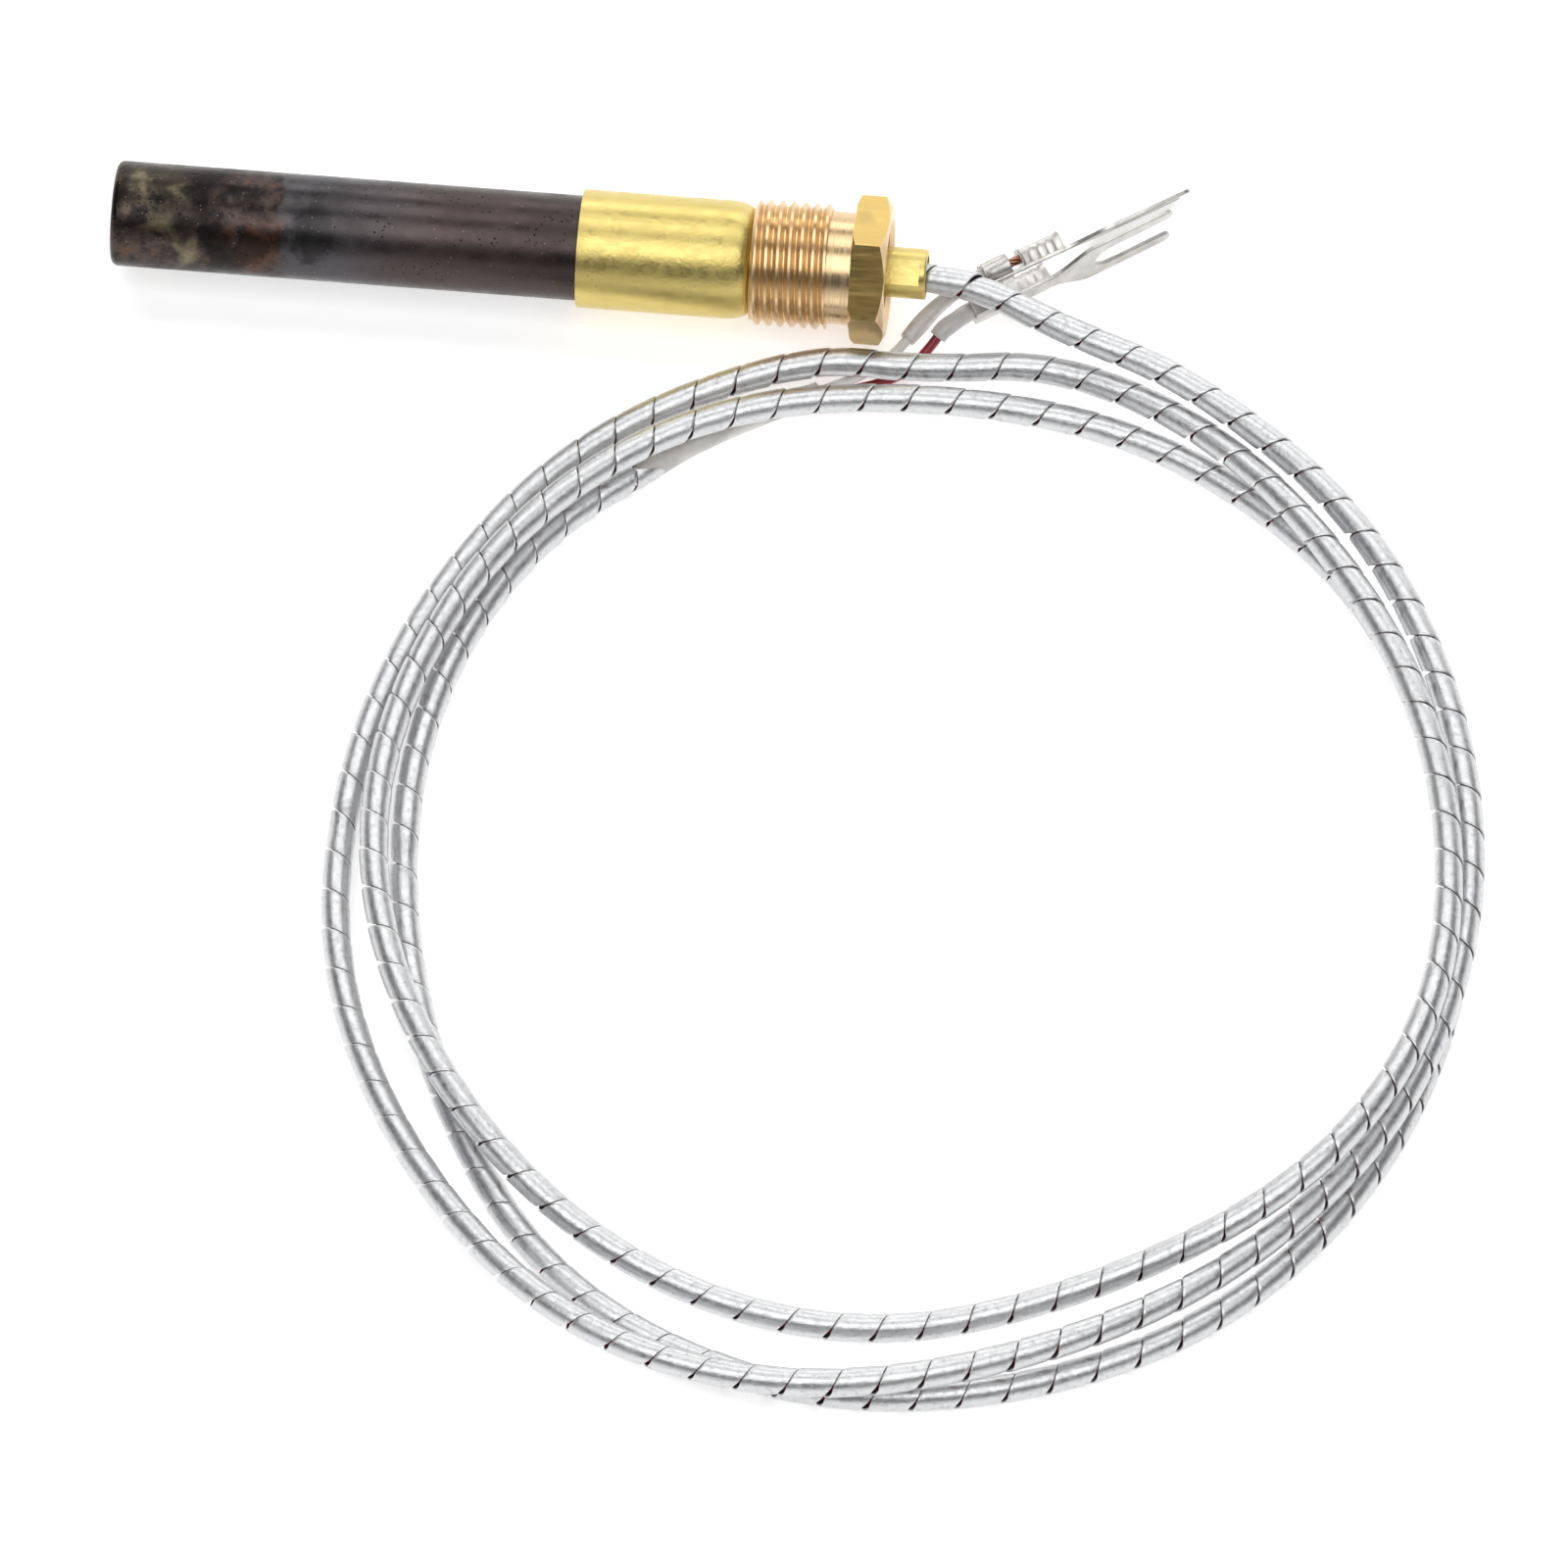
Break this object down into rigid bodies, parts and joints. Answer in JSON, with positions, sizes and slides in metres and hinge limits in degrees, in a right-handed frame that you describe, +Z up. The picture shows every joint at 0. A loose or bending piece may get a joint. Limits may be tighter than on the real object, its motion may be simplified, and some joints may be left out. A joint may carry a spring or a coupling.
{
  "type": "thermocouple",
  "caption": "Millivolt thermocouple generator for a gas pilot: closed hot tube, brass cold-end sleeve, loose threaded mounting nut and a long armoured lead ending in fork terminals.",
  "frame": {"origin": "on the probe's axis at the front face of the mounting nut's thread", "axes": "+X along the probe's axis from the closed hot end towards the lead, +Z up from the surface it lies on, +Y to the left of +X"},
  "size_m": [0.1729, 0.1718, 0.018],
  "materials": {
    "heat_tinted_steel": "stainless, heat tinted dark brown",
    "sleeve_brass": "grainy satin yellow brass",
    "nut_brass": "turned, bright",
    "positive_alloy": "plain",
    "negative_alloy": "plain",
    "weld": "welded",
    "ceramic": "unglazed ceramic",
    "mica": "mica sheet",
    "potting": "cement",
    "bush_fibre": "glass fibre",
    "armour_aluminium": "spiral strip, satin",
    "red_insulation": "varnished braid",
    "white_insulation": "varnished braid",
    "grey_sleeve": "translucent grey",
    "copper": "bare copper strands",
    "tinned_strip": "tinned, satin"
  },
  "bodies": {
    "generator": {"hot_shell": "heat_tinted_steel", "cold_sleeve": "sleeve_brass", "positive_legs": "positive_alloy", "negative_legs": "negative_alloy", "hot_junctions": "weld", "cold_junctions": "weld", "ceramic_core": "ceramic", "mica_wrap": "mica", "hot_end_disc": "ceramic", "cold_end_disc": "ceramic", "potting_plug": "potting", "lead_splices": "copper", "neck_bush": "bush_fibre", "cable_armour": "armour_aluminium", "outer_sleeve": "grey_sleeve", "white_lead_insulation": "white_insulation", "white_lead_conductor": "copper", "white_terminal_sleeve": "grey_sleeve", "fork_terminal_white": "tinned_strip", "red_lead_insulation": "red_insulation", "red_lead_conductor": "copper", "red_terminal_sleeve": "grey_sleeve", "fork_terminal_red": "tinned_strip"},
    "nut": {"threaded_nut": "nut_brass"}
  },
  "joints": [
    {"name": "nut_spin", "type": "hinge", "parent": "generator", "child": "nut", "pos_m": [0, 0, 0], "axis": [1, 0, 0], "continuous": true}
  ]
}
